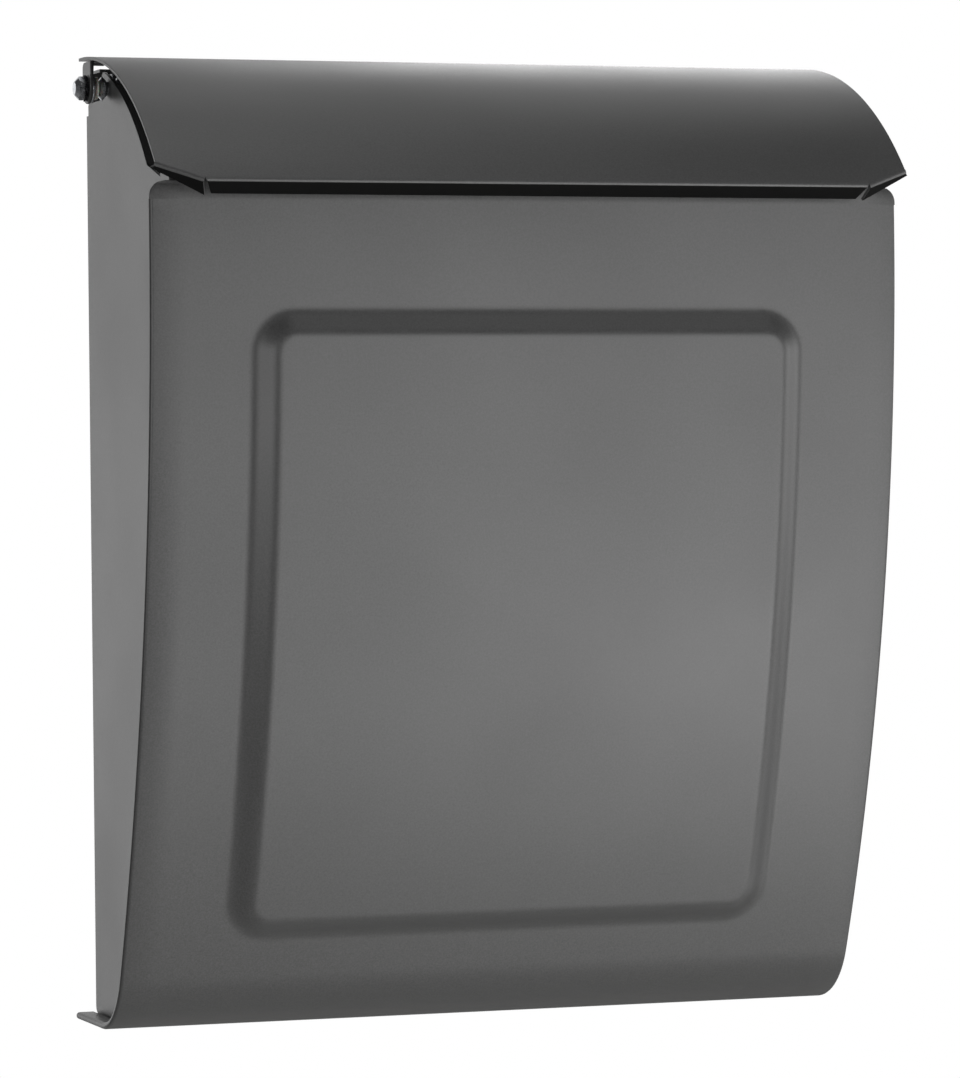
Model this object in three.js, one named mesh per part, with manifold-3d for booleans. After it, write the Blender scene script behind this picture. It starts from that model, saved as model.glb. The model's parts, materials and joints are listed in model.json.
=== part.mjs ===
// A wall mailbox of folded and powder-coated sheet steel, with a curved lid that lifts on two hinge bolts.
// Units are millimetres. +X is to the right, +Y goes into the wall, +Z is up.
// The wall plane is Y = 0, and the origin is in the middle of the back.
import * as THREE from "three";
import { mergeVertices } from "three/addons/utils/BufferGeometryUtils.js";
import Module from "manifold-3d";

const wasm = await Module();
wasm.setup();

// ---------------------------------------------------------------- driving dimensions

const height = 375.4; // from the bottom lip to the top of the lid
const lidWidth = 300;
const sheet = 1.2; // thickness of every steel sheet
const weldGap = 0.3; // between two faces that are spot-welded or that rest on each other
const fitGap = 0.1; // between neighbours in the stack on a hinge bolt

// Front panel: one sheet that bulges, turns under in a soft bend and runs back to the wall as a lip.
const frontInset = 0.2; // the front panel is this much narrower than the lid at each side
const frontDepth = 121.6; // wall to the most forward line of the panel
const frontTopGap = 13.63; // underside of the lid above the panel down to the panel's top edge
const frontApexDrop = 23.2; // top edge of the panel down to its most forward line
const bendRadius = 33;
const lipLength = 37.4; // flat part of the lip, up to the wall
const frontCornerRadius = 6;
const hemWidth = 6.9;
const hemDrop = 8; // the hem starts this far below the top edge

// Raised field pressed into the front panel, measured to the foot of its slope.
const fieldSideMargin = 38.8;
const fieldTopMargin = 47;
const fieldBottomMargin = 15.5; // above the line where the bend begins
const fieldRaise = 4.5;
const fieldSlope = 10.7; // width of the sloping border
const fieldCornerRadius = 17;

// Lid: an arc with a drip edge turned in along its front and along its two cut corners.
const lidRadius = 148.5;
const lidCentreToWall = 23;
const lidRearToWall = 20.2;
const lidOverhang = 15.35; // the drip edge stands this far ahead of the front panel
const lidBendRadius = 1.6;
const dripEdge = 7.5; // depth of the turned-in edge
const dripMitre = 3.5; // its free edge is this much shorter at each end
const cornerCutWidth = 16.5;
const cornerCutRun = 7.75;
const cornerFlangeStart = 2.6; // depth of the corner flange at the side of the lid
const cornerFlangeGap = 0.8; // between a corner flange and the front drip edge

// Hinge: one axis through both side panels.
const hingeToWall = 31.8;
const hingeDrop = 12.5; // top of the lid down to the axis
const boltDiameter = 5;
const boltHoleGap = 0.2; // radial gap between the bolt and the holes it passes through
const threadGap = 0.15; // radial gap between a nut and its bolt
const hexAcrossFlats = 8;
const boltHeadHeight = 3.5;
const boltPastNut = 1.5;
const hingeNutHeight = 4;
const innerNutHeight = 4.5;
const spacerLength = 1.6;
const spacerDiameter = 9;
const washerThickness = 1;
const washerDiameter = 11.4;
const lockWasherThickness = 1.2;
const lockWasherDiameter = 10.2;

// Hinge bracket: an ear on the bolt with a flange welded under the lid.
const earWidth = 12;
const earCornerRadius = 2.5;
const bracketToSide = 0.4; // the flange stops this far outside the side panel

// Side panels.
const tabRearToWall = 23.5; // rear edge of the tab that carries the hinge bolt
const tabTopDrop = 5.6; // top of the lid down to the highest point of the tab
const tabCornerRadius = 3;
const mouthRadius = 131; // arc of the mouth, from the tab down to the front shoulder
const shoulderSetback = 32.7; // front shoulder behind the front panel's most forward line
const shoulderRise = 7.5; // start of the front shoulder above the front panel's top edge
const shoulderEndRise = 2; // end of that shoulder above the front panel's top edge
const restDrop = 16.2; // top of the lid down to the rear shoulder, where the open lid lands
const sideCornerRadius = 3;
const reliefDrop = 21; // top of the lid down to a step in the side panel's rear edge
const reliefDepth = 2.7; // how far that step stands back from the wall
const reliefCorner = 1.5;
const sideLipGap = 1; // between the side panel's lower edge and the lip
const stopDepth = 12; // rest for the closed lid, measured back from the front edge of the side panel
const stopGap = 0.4; // between that rest and the closed lid
const frontFlange = 10;
const rearFlange = 12;
const mouthFlange = 5;
const flangeSetback = 10; // the flanges stop short of the corners by this much

// Back panel, with a rain ledge along its top and a flange over the lip along its bottom.
const ledgeDepth = 15.1;
const ledgeDrop = 3.6; // top of the lid down to the top of the ledge
const footFlange = 12;
const screwSpacingX = 170;
const upperScrewZ = 110;
const lowerScrewZ = -120;
const screwSlotWidth = 5.5;
const screwHeadHole = 10.5;
const keyholeRise = 10; // centre of the head hole up to the end of the slot

const arcSteps = 24;
const roundSides = 24;
const cornerSteps = 4;

// ---------------------------------------------------------------- places worked out from them

const top = height / 2;
const bottom = -height / 2;
const lidHalf = lidWidth / 2;
const hinge = { y: -hingeToWall, z: top - hingeDrop };
const frontHalf = lidHalf - frontInset;

// Height of the lid's underside at a place in front of the wall, less a gap.
function lidUnderside(y, gap) {
  const reach = lidRadius - sheet - gap;
  return top - lidRadius + Math.sqrt(reach ** 2 - (y + lidCentreToWall) ** 2);
}

const frontTop = lidUnderside(-frontDepth, 0) - frontTopGap;

// The stack on each hinge bolt fills the space between the side panel and the ear of the lid.
const earOutside = lidHalf;
const earInside = earOutside - sheet;
const flatWasherX = earInside - fitGap - washerThickness;
const spacerX = flatWasherX - fitGap - spacerLength;
const hingeNutX = spacerX - fitGap - hingeNutHeight;
const sideOutside = hingeNutX - fitGap;
const sideInside = sideOutside - sheet;
const innerWasherX = sideInside - fitGap - washerThickness;
const innerNutX = innerWasherX - fitGap - innerNutHeight;
const lockWasherX = earOutside + fitGap;
const boltHeadX = lockWasherX + lockWasherThickness + fitGap;
const boltEndX = innerNutX - boltPastNut;
const boltHoleDiameter = boltDiameter + 2 * boltHoleGap;

// ---------------------------------------------------------------- materials

const finish = (color, roughness, metalness) => new THREE.MeshStandardMaterial({ color, roughness, metalness });
const powderCoat = finish(0x55565a, 0.55, 0.3);
const zincPlate = finish(0xb9bcc0, 0.35, 0.9);
const darkZinc = finish(0x3a3a3c, 0.5, 0.8);
const nylon = finish(0xd8d6cd, 0.6, 0);

// ---------------------------------------------------------------- solids

// A three.js geometry as a manifold-3d solid.
function toSolid(geometry) {
  const bare = geometry.clone();
  bare.deleteAttribute("normal");
  bare.deleteAttribute("uv");
  const merged = mergeVertices(bare, 1e-4);
  return new wasm.Manifold(
    new wasm.Mesh({
      numProp: 3,
      vertProperties: new Float32Array(merged.attributes.position.array),
      triVerts: new Uint32Array(merged.index.array),
    }),
  );
}

// A manifold-3d solid as a three.js geometry.
function toGeometry(solid) {
  const mesh = solid.getMesh();
  const geometry = new THREE.BufferGeometry();
  geometry.setAttribute("position", new THREE.BufferAttribute(mesh.vertProperties, 3));
  geometry.setIndex(new THREE.BufferAttribute(mesh.triVerts, 1));
  geometry.computeVertexNormals();
  return geometry;
}

const joined = (...solids) => solids.reduce((all, next) => all.add(next));
const cut = (solid, ...tools) => tools.reduce((rest, tool) => rest.subtract(tool), solid);

// A shape drawn in the Y-Z plane, extruded along X from x0 to x1.
function slab(shape, x0, x1) {
  const geometry = new THREE.ExtrudeGeometry(shape, {
    depth: x1 - x0,
    bevelEnabled: false,
    curveSegments: roundSides / 2,
  });
  const turn = new THREE.Matrix4().makeBasis(
    new THREE.Vector3(0, 1, 0),
    new THREE.Vector3(0, 0, 1),
    new THREE.Vector3(1, 0, 0),
  );
  geometry.applyMatrix4(turn);
  geometry.translate(x0, 0, 0);
  return toSolid(geometry);
}

function block(x0, x1, y0, y1, z0, z1) {
  const geometry = new THREE.BoxGeometry(x1 - x0, y1 - y0, z1 - z0);
  geometry.translate((x0 + x1) / 2, (y0 + y1) / 2, (z0 + z1) / 2);
  return toSolid(geometry);
}

// A round bar along X, or along Y for a hole through the back panel.
function rod(diameter, x0, x1, y, z) {
  const geometry = new THREE.CylinderGeometry(diameter / 2, diameter / 2, x1 - x0, roundSides);
  geometry.rotateZ(Math.PI / 2);
  geometry.translate((x0 + x1) / 2, y, z);
  return toSolid(geometry);
}

function rodThroughBack(diameter, x, z) {
  const geometry = new THREE.CylinderGeometry(diameter / 2, diameter / 2, 6 * sheet, roundSides);
  geometry.translate(x, 0, z);
  return toSolid(geometry);
}

// Points of an arc round (cy, cz) from one angle to another, in degrees from +Y towards +Z.
function arcPoints(cy, cz, radius, from, to, steps) {
  return Array.from({ length: steps + 1 }, (_, i) => {
    const angle = THREE.MathUtils.degToRad(from + ((to - from) * i) / steps);
    return new THREE.Vector2(cy + radius * Math.cos(angle), cz + radius * Math.sin(angle));
  });
}

const spread = (from, to, steps) => Array.from({ length: steps }, (_, i) => from + ((to - from) * i) / steps);

// ---------------------------------------------------------------- folded sheets

// Walks the outer face of a folded sheet in the Y-Z plane, from its first edge, turning towards the inside.
// A run is straight when its radius is Infinity. The result gives the point at a distance along the sheet
// and a depth below its outer face.
function foldedSheet(y, z, heading, runs) {
  const starts = [];
  let at = { distance: 0, y, z, heading };
  for (const run of runs) {
    starts.push({ ...at, ...run });
    const turn = run.length / run.radius;
    const chord = turn ? (2 * Math.sin(turn / 2)) * run.radius : run.length;
    at = {
      distance: at.distance + run.length,
      y: at.y + chord * Math.cos(at.heading + turn / 2),
      z: at.z + chord * Math.sin(at.heading + turn / 2),
      heading: at.heading + turn,
    };
  }
  const point = (distance, depth) => {
    const run = starts.filter((start) => start.distance <= distance + 1e-9).at(-1);
    const gone = distance - run.distance;
    const turn = gone / run.radius;
    const chord = turn ? (2 * Math.sin(turn / 2)) * run.radius : gone;
    const direction = run.heading + turn;
    return {
      y: run.y + chord * Math.cos(run.heading + turn / 2) - depth * Math.sin(direction),
      z: run.z + chord * Math.sin(run.heading + turn / 2) + depth * Math.cos(direction),
    };
  };
  return { point, length: at.distance, starts };
}

// A box bent onto a folded sheet. Its corners are given as (x, distance, depth) by place(u, v, w),
// where u and v step through the given columns and rows, and w is 0 on the outer face and 1 on the inner.
function bentPlate(line, columns, rows, place) {
  const geometry = new THREE.BoxGeometry(1, 1, 1, columns.length - 1, rows.length - 1, 1);
  const position = geometry.attributes.position;
  for (let i = 0; i < position.count; i += 1) {
    const column = Math.round((position.getX(i) + 0.5) * (columns.length - 1));
    const row = Math.round((position.getY(i) + 0.5) * (rows.length - 1));
    const spot = place(columns[column], rows[row], position.getZ(i) + 0.5);
    const at = line.point(spot.distance, spot.depth);
    position.setXYZ(i, spot.x, at.y, at.z);
  }
  const solid = toSolid(geometry);
  if (solid.volume() > 0) return solid;
  geometry.setIndex(Array.from(geometry.index.array).reverse());
  return toSolid(geometry);
}

// ---------------------------------------------------------------- front panel

const lipDepth = lipLength;
const bendCentre = { y: -lipDepth, z: bottom + bendRadius };
const bulgeFall = frontTop - frontApexDrop - bendCentre.z;
const bulgeReach = frontDepth - lipDepth;
const bulgeRadius = (bulgeReach ** 2 + bulgeFall ** 2 - bendRadius ** 2) / (2 * (bulgeReach - bendRadius));
const bulgeTopAngle = Math.asin(frontApexDrop / bulgeRadius);
const bulgeEndAngle = Math.asin(bulgeFall / (bulgeRadius - bendRadius));
const bulgeRun = bulgeRadius * (bulgeTopAngle + bulgeEndAngle);
const bendRun = bendRadius * (Math.PI / 2 - bulgeEndAngle);

const frontLine = foldedSheet(
  -frontDepth + bulgeRadius * (1 - Math.cos(bulgeTopAngle)),
  frontTop,
  -Math.PI / 2 - bulgeTopAngle,
  [
    { length: bulgeRun, radius: bulgeRadius },
    { length: bendRun, radius: bendRadius },
    { length: lipLength, radius: Infinity },
  ],
);

const fieldHalf = frontHalf - fieldSideMargin;
const fieldStart = fieldTopMargin;
const fieldEnd = bulgeRun - fieldBottomMargin;

// How far the front panel is raised at x and at a distance down the sheet: a level field with a sloping border.
function raiseAt(x, distance) {
  const middle = (fieldStart + fieldEnd) / 2;
  const outX = Math.abs(x) - (fieldHalf - fieldCornerRadius);
  const outRun = Math.abs(distance - middle) - ((fieldEnd - fieldStart) / 2 - fieldCornerRadius);
  const past = Math.hypot(Math.max(outX, 0), Math.max(outRun, 0)) + Math.min(Math.max(outX, outRun), 0);
  const inside = fieldCornerRadius - past;
  return fieldRaise * THREE.MathUtils.clamp(inside / fieldSlope, 0, 1);
}

// Columns or rows across one border of the field: its foot, its top edge and steps round its corner.
function borderSteps(foot, inward) {
  const depths = [0, 0.25, 0.5, 0.75, 1].map((part) => part * fieldSlope);
  const past = [0.4, 1].map((part) => fieldSlope + part * fieldCornerRadius);
  return [...depths, ...past].map((depth) => foot + inward * depth);
}

function makeFrontPanel() {
  const left = borderSteps(-fieldHalf, 1);
  const right = borderSteps(fieldHalf, -1).reverse();
  const columns = [-frontHalf, ...left, 0, ...right, frontHalf];
  const upper = borderSteps(fieldStart, 1);
  const lower = borderSteps(fieldEnd, -1).reverse();
  const rows = [
    ...spread(0, fieldStart, 4),
    ...upper,
    ...spread(upper.at(-1), lower[0], arcSteps / 2).slice(1),
    ...lower,
    ...spread(bulgeRun, bulgeRun + bendRun, arcSteps / 2),
    bulgeRun + bendRun,
    frontLine.length,
  ];
  const skin = bentPlate(frontLine, columns, rows, (x, distance, w) => ({
    x,
    distance,
    depth: w * sheet - raiseAt(x, distance),
  }));

  const hemRows = [
    ...spread(hemDrop, bulgeRun, arcSteps),
    ...spread(bulgeRun, bulgeRun + bendRun, arcSteps / 2),
    bulgeRun + bendRun,
    frontLine.length,
  ];
  const hems = [-1, 1].map((side) =>
    bentPlate(frontLine, [frontHalf - hemWidth, frontHalf], hemRows, (x, distance, w) => ({
      x: side * x,
      distance,
      depth: sheet * (0.9 + 1.2 * w),
    })),
  );

  const corners = [-1, 1].map((side) => {
    const outer = frontHalf + sheet;
    const shape = new THREE.Shape();
    shape.moveTo(side * outer, frontTop + sheet);
    shape.lineTo(side * outer, frontTop - frontCornerRadius);
    arcPoints(frontHalf - frontCornerRadius, frontTop - frontCornerRadius, frontCornerRadius, 0, 90, 6).forEach(
      (p) => shape.lineTo(side * p.x, p.y),
    );
    shape.lineTo(side * (frontHalf - frontCornerRadius), frontTop + sheet);
    const geometry = new THREE.ExtrudeGeometry(shape, { depth: 8 * sheet, bevelEnabled: false });
    geometry.rotateX(Math.PI / 2);
    geometry.translate(0, -frontDepth + 4 * sheet, 0);
    return toSolid(geometry);
  });
  return cut(joined(skin, ...hems), ...corners);
}

// ---------------------------------------------------------------- side panels

const tabTop = top - tabTopDrop;
const restZ = top - restDrop;
const shoulder = { y: shoulderSetback - frontDepth, z: frontTop + shoulderRise };
const sideBottom = bottom + sheet + sideLipGap;
const sideDepth = sheet + weldGap; // the side panel stands this far behind the front panel's outer face

// Centre of the mouth's arc, which runs from the tab to the front shoulder.
function mouthCentre() {
  const from = new THREE.Vector2(-tabRearToWall - tabCornerRadius, tabTop);
  const to = new THREE.Vector2(shoulder.y, shoulder.z);
  const across = to.clone().sub(from);
  const middle = from.clone().add(to).multiplyScalar(0.5);
  const toCentre = Math.sqrt(mouthRadius ** 2 - across.lengthSq() / 4);
  const inward = new THREE.Vector2(-across.y, across.x).normalize();
  return middle.add(inward.multiplyScalar(toCentre));
}

// The rest for the closed lid: it follows the underside of the lid from one place to another.
function lidStop(from, to) {
  return [...spread(from, to, cornerSteps), to].map((y) => new THREE.Vector2(y, lidUnderside(y, stopGap)));
}

function sideOutline() {
  const centre = mouthCentre();
  const degrees = (y, z) => THREE.MathUtils.radToDeg(Math.atan2(z - centre.y, y - centre.x));
  const tabRear = -tabRearToWall;
  const r = sideCornerRadius;
  const lowReach = bendRadius - sideDepth;
  const bottomEdge = bendCentre.y - Math.sqrt(lowReach ** 2 - (bendCentre.z - sideBottom) ** 2);
  const bendPart = Math.acos((bendCentre.z - sideBottom) / lowReach);
  const frontRows = [
    ...spread(0, bulgeRun, arcSteps),
    ...spread(bulgeRun, bulgeRun + bendRun - bendRadius * bendPart, arcSteps / 2),
  ];
  const frontEdge = frontRows.map((distance) => frontLine.point(distance, sideDepth));
  const stopRear = frontEdge[0].y + stopDepth;
  return [
    ...arcPoints(-r, sideBottom + r, r, -90, 0, cornerSteps),
    new THREE.Vector2(0, top - reliefDrop),
    new THREE.Vector2(-reliefDepth, top - reliefDrop),
    ...arcPoints(-reliefDepth - reliefCorner, restZ - reliefCorner, reliefCorner, 0, 90, cornerSteps),
    new THREE.Vector2(tabRear, restZ),
    ...arcPoints(tabRear - tabCornerRadius, tabTop - tabCornerRadius, tabCornerRadius, 0, 90, cornerSteps),
    ...arcPoints(
      centre.x,
      centre.y,
      mouthRadius,
      degrees(tabRear - tabCornerRadius, tabTop),
      degrees(shoulder.y, shoulder.z),
      arcSteps,
    ).slice(1),
    new THREE.Vector2(stopRear, frontTop + shoulderEndRise),
    ...lidStop(stopRear, frontEdge[0].y),
    ...frontEdge.map((at) => new THREE.Vector2(at.y, at.z)),
    new THREE.Vector2(bottomEdge, sideBottom),
  ];
}

// The right-hand side panel. Its flanges turn inwards along the front, the back and the mouth.
function makeSidePanel() {
  const plate = slab(new THREE.Shape(sideOutline()), sideInside, sideOutside);
  const flangeRows = [...spread(flangeSetback, bulgeRun, arcSteps), bulgeRun];
  const front = bentPlate(
    frontLine,
    [sideOutside - frontFlange, sideOutside - sheet / 2],
    flangeRows,
    (x, distance, w) => ({ x, distance, depth: sideDepth + w * sheet }),
  );
  const rearFace = -sheet - weldGap;
  const rear = block(
    sideOutside - rearFlange,
    sideOutside - sheet / 2,
    rearFace - sheet,
    rearFace,
    sideBottom + flangeSetback,
    top - reliefDrop - flangeSetback,
  );
  const centre = mouthCentre();
  const start = THREE.MathUtils.radToDeg(
    Math.atan2(hinge.z - centre.y, hinge.y - flangeSetback - centre.x),
  );
  const end = THREE.MathUtils.radToDeg(Math.atan2(shoulder.z - centre.y, shoulder.y - centre.x));
  const mouth = slab(
    new THREE.Shape([
      ...arcPoints(centre.x, centre.y, mouthRadius, start, end, arcSteps),
      ...arcPoints(centre.x, centre.y, mouthRadius - sheet, end, start, arcSteps),
    ]),
    sideOutside - mouthFlange,
    sideOutside - sheet / 2,
  );
  const hole = rod(boltHoleDiameter, sideInside - sheet, sideOutside + sheet, hinge.y, hinge.z);
  return cut(joined(plate, front, rear, mouth), hole);
}

// ---------------------------------------------------------------- back panel

function makeBackPanel() {
  const half = sideInside - weldGap;
  const ledgeTop = top - ledgeDrop;
  const foot = bottom + sheet + weldGap;
  const outline = [
    [0, foot],
    [0, ledgeTop],
    [-ledgeDepth, ledgeTop],
    [-ledgeDepth, ledgeTop - sheet],
    [-sheet, ledgeTop - sheet],
    [-sheet, foot + sheet],
    [-footFlange, foot + sheet],
    [-footFlange, foot],
  ].map(([y, z]) => new THREE.Vector2(y, z));
  const panel = slab(new THREE.Shape(outline), -half, half);
  const holes = [-1, 1].flatMap((side) => {
    const x = (side * screwSpacingX) / 2;
    const slotHalf = screwSlotWidth / 2;
    const slotTop = upperScrewZ + keyholeRise;
    return [
      rodThroughBack(screwHeadHole, x, upperScrewZ),
      block(x - slotHalf, x + slotHalf, -2 * sheet, sheet, upperScrewZ, slotTop),
      rodThroughBack(screwSlotWidth, x, slotTop),
      rodThroughBack(screwSlotWidth, x, lowerScrewZ),
    ];
  });
  return cut(panel, ...holes);
}

// ---------------------------------------------------------------- lid

const lidRearAngle = Math.asin((lidCentreToWall - lidRearToWall) / lidRadius);
const lidFrontAngle = Math.asin((frontDepth + lidOverhang - lidCentreToWall) / lidRadius);
const lidRun = lidRadius * (lidRearAngle + lidFrontAngle); // rear edge to the outside of the drip edge
const lidArcRun = lidRun - lidBendRadius;
const lidBendRun = (lidBendRadius * Math.PI) / 2;

const lidRear = {
  y: -lidRearToWall,
  z: top - lidRadius * (1 - Math.cos(lidRearAngle)),
  heading: Math.PI - lidRearAngle,
};
const lidLine = foldedSheet(lidRear.y, lidRear.z, lidRear.heading, [
  { length: lidArcRun, radius: lidRadius },
  { length: lidBendRun, radius: lidBendRadius },
  { length: dripEdge - lidBendRadius, radius: Infinity },
]);

const cutStart = lidRun - cornerCutRun;
const cutHalf = lidHalf - cornerCutWidth;
const skinLine = foldedSheet(lidRear.y, lidRear.z, lidRear.heading, [{ length: lidRun, radius: lidRadius }]);

// Half the lid's width at a distance from its rear edge: full, then the cut corner, then the mitred drip edge.
function lidHalfAt(distance) {
  if (distance <= cutStart) return lidHalf;
  if (distance <= lidArcRun) return THREE.MathUtils.mapLinear(distance, cutStart, lidRun, lidHalf, cutHalf);
  return THREE.MathUtils.mapLinear(distance, lidArcRun, lidLine.length, cutHalf, cutHalf - dripMitre);
}

function makeLid() {
  const rows = [
    ...spread(0, cutStart, arcSteps),
    cutStart,
    ...spread(lidArcRun, lidArcRun + lidBendRun, 3),
    lidArcRun + lidBendRun,
    lidLine.length,
  ];
  const skin = bentPlate(lidLine, [-1, 1], rows, (side, distance, w) => ({
    x: side * lidHalfAt(distance),
    distance,
    depth: w * sheet,
  }));

  // Each corner flange follows the cut corner, and gets deeper from the side of the lid to the front.
  const slant = Math.hypot(cornerCutWidth, cornerCutRun);
  const end = 1 - cornerFlangeGap / slant;
  const flanges = [-1, 1].map((side) =>
    bentPlate(skinLine, [0, end], [0, 1], (along, inward, w) => ({
      x: side * (lidHalf - along * cornerCutWidth - (inward * sheet * cornerCutRun) / slant),
      distance: cutStart + along * cornerCutRun - (inward * sheet * cornerCutWidth) / slant,
      depth: w * THREE.MathUtils.lerp(cornerFlangeStart, dripEdge, along),
    })),
  );
  return joined(skin, ...flanges);
}

// ---------------------------------------------------------------- hinge

// The right-hand bracket: an ear that turns on the bolt, rounded below, and a flange under the lid.
function makeBracket() {
  const half = earWidth / 2;
  const flangeTop = lidUnderside(hinge.y - half, weldGap);
  const outline = [
    ...arcPoints(hinge.y, hinge.z, half, 180, 360, 2 * cornerSteps),
    ...arcPoints(
      hinge.y + half - earCornerRadius,
      flangeTop - earCornerRadius,
      earCornerRadius,
      0,
      90,
      cornerSteps,
    ),
    new THREE.Vector2(hinge.y - half, flangeTop),
  ];
  const ear = slab(new THREE.Shape(outline), earInside, earOutside);
  const flange = block(
    sideOutside + bracketToSide,
    earOutside - sheet / 2,
    hinge.y - half,
    hinge.y + half - earCornerRadius,
    flangeTop - sheet,
    flangeTop,
  );
  return cut(joined(ear, flange), rod(boltHoleDiameter, earInside - sheet, earOutside + sheet, hinge.y, hinge.z));
}

function hexShape(across) {
  const corners = arcPoints(hinge.y, hinge.z, across / Math.sqrt(3), 0, 300, 5);
  return new THREE.Shape(corners);
}

function ringShape(outer, inner) {
  const shape = new THREE.Shape();
  shape.absarc(hinge.y, hinge.z, outer / 2, 0, 2 * Math.PI);
  shape.holes.push(new THREE.Path().absarc(hinge.y, hinge.z, inner / 2, 0, 2 * Math.PI));
  return shape;
}

function makeNut(x0, x1) {
  const bore = boltDiameter + 2 * threadGap;
  return cut(slab(hexShape(hexAcrossFlats), x0, x1), rod(bore, x0 - sheet, x1 + sheet, hinge.y, hinge.z));
}

const makeRing = (outer, x0, x1) => slab(ringShape(outer, boltHoleDiameter), x0, x1);

function makeBolt() {
  const head = slab(hexShape(hexAcrossFlats), boltHeadX, boltHeadX + boltHeadHeight);
  const shank = rod(boltDiameter, boltEndX, boltHeadX + boltHeadHeight / 2, hinge.y, hinge.z);
  return joined(head, shank);
}

// ---------------------------------------------------------------- the mailbox

const mailbox = new THREE.Group();

function addPiece(parent, name, solid, material) {
  const mesh = new THREE.Mesh(toGeometry(solid), material);
  mesh.name = name;
  parent.add(mesh);
}

addPiece(mailbox, "back_panel", makeBackPanel(), powderCoat);
addPiece(mailbox, "front_panel", makeFrontPanel(), powderCoat);
addPiece(mailbox, "lid", makeLid(), powderCoat);

// The two sides mirror each other, so the left-hand group holds the same pieces with X turned round.
for (const side of ["left", "right"]) {
  const group = new THREE.Group();
  group.scale.x = side === "left" ? -1 : 1;
  mailbox.add(group);
  const pieces = {
    side_panel: [makeSidePanel(), powderCoat],
    lid_bracket: [makeBracket(), powderCoat],
    hinge_bolt: [makeBolt(), zincPlate],
    hinge_lock_washer: [
      makeRing(lockWasherDiameter, lockWasherX, lockWasherX + lockWasherThickness),
      darkZinc,
    ],
    hinge_flat_washer: [makeRing(washerDiameter, flatWasherX, flatWasherX + washerThickness), zincPlate],
    hinge_spacer: [makeRing(spacerDiameter, spacerX, spacerX + spacerLength), nylon],
    hinge_nut: [makeNut(hingeNutX, hingeNutX + hingeNutHeight), zincPlate],
    inner_washer: [makeRing(washerDiameter, innerWasherX, innerWasherX + washerThickness), zincPlate],
    inner_nut: [makeNut(innerNutX, innerNutX + innerNutHeight), zincPlate],
  };
  for (const [name, [solid, material]] of Object.entries(pieces)) {
    addPiece(group, `${name}_${side}`, solid, material);
  }
}

export default mailbox;
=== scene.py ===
# %% [markdown]
# # A wall mailbox of folded sheet steel
#
# The box is made as a sheet-metal shop makes it. Flat blanks are cut, folded, welded
# together and powder-coated, and then the lid is hung on two zinc-plated bolts. The
# lengths of the pieces are in millimetres and are turned into metres as each mesh is
# made. The camera, floor and lights are in metres.

# %% Load the measured model
import math

import bmesh
import bpy
from mathutils import Matrix, Vector
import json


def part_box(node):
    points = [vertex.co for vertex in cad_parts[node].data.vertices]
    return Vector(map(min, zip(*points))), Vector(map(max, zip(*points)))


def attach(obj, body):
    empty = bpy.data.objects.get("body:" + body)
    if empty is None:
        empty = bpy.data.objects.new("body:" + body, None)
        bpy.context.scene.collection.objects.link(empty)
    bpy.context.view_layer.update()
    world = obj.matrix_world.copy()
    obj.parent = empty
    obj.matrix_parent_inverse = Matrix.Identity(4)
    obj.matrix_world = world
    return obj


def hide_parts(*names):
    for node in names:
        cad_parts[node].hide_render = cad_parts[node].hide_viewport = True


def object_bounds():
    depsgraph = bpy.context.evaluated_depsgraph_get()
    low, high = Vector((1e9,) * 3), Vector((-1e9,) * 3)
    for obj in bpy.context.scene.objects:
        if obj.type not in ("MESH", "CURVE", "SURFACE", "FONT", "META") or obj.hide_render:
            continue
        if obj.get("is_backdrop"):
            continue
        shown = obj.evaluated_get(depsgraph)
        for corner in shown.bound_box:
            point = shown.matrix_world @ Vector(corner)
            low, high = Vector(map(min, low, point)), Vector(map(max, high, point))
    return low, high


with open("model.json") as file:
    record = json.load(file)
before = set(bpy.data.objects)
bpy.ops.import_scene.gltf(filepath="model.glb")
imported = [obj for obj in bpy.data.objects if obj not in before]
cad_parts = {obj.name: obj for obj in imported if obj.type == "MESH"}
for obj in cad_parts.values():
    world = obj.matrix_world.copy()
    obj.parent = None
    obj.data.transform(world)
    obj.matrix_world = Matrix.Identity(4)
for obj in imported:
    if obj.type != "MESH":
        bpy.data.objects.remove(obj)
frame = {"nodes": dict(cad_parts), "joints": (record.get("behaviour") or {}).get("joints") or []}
cad_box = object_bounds()
MM = 0.001


def box_mm(node):
    """The lowest and highest corner of a measured node, in millimetres."""
    low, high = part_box(node)
    return low / MM, high / MM


lid_low, lid_high = box_mm("lid")
front_low, front_high = box_mm("front_panel")
side_low, side_high = box_mm("side_panel_right")
bolt_low, bolt_high = box_mm("hinge_bolt_right")
joint_place = frame["joints"][0]["pos_m"]
HINGE_Y, HINGE_Z = joint_place[1] / MM, joint_place[2] / MM
TOP, BOTTOM = lid_high.z, front_low.z
LID_HALF = lid_high.x
FRONT_HALF = front_high.x
FRONT_TOP = front_high.z
SHEET = 1.2  # the thickness of every sheet
print(
    f"lid {2 * LID_HALF:.1f} mm wide, box {TOP - BOTTOM:.1f} mm high,",
    f"hinge at y {HINGE_Y:.1f} z {HINGE_Z:.1f}",
)

# %% [markdown]
# ## Camera
#
# A long lens keeps the upright edges nearly parallel, as in a product picture. The
# camera stands 19 degrees to the left, two metres away, almost level with the box.

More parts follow.
